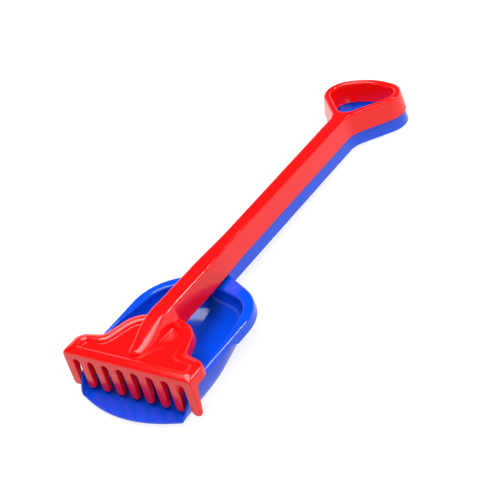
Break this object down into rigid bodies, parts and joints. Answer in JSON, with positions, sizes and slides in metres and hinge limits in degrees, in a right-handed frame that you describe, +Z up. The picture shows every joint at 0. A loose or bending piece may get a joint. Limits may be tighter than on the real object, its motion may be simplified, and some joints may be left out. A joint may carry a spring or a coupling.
{
  "type": "nested beach rake and sand scoop",
  "caption": "Long-handled plastic sand scoop with a tined rake nested on top, both with looped grips; the rake lifts off along the handle's normal.",
  "frame": {"origin": "middle of the bounding box's bottom, on the ground that the scoop's belly and grip rest on", "axes": "+Z up, +Y from the tool heads towards the grips, X across the heads; the set mirrors about X = 0"},
  "size_m": [0.1432, 0.5116, 0.0573],
  "materials": {
    "scoop_plastic": "glossy moulded blue polypropylene",
    "rake_plastic": "glossy moulded red polypropylene"
  },
  "bodies": {
    "scoop": {"scoop_bowl": "scoop_plastic", "scoop_shaft": "scoop_plastic", "scoop_grip": "scoop_plastic"},
    "rake": {"rake_head": "rake_plastic", "rake_comb": "rake_plastic", "rake_shaft": "rake_plastic", "rake_grip": "rake_plastic"}
  },
  "joints": [
    {"name": "rake_lift", "type": "slide", "parent": "scoop", "child": "rake", "axis": [0, 0.0464, 0.9989], "range_m": [0, 0.1]}
  ]
}
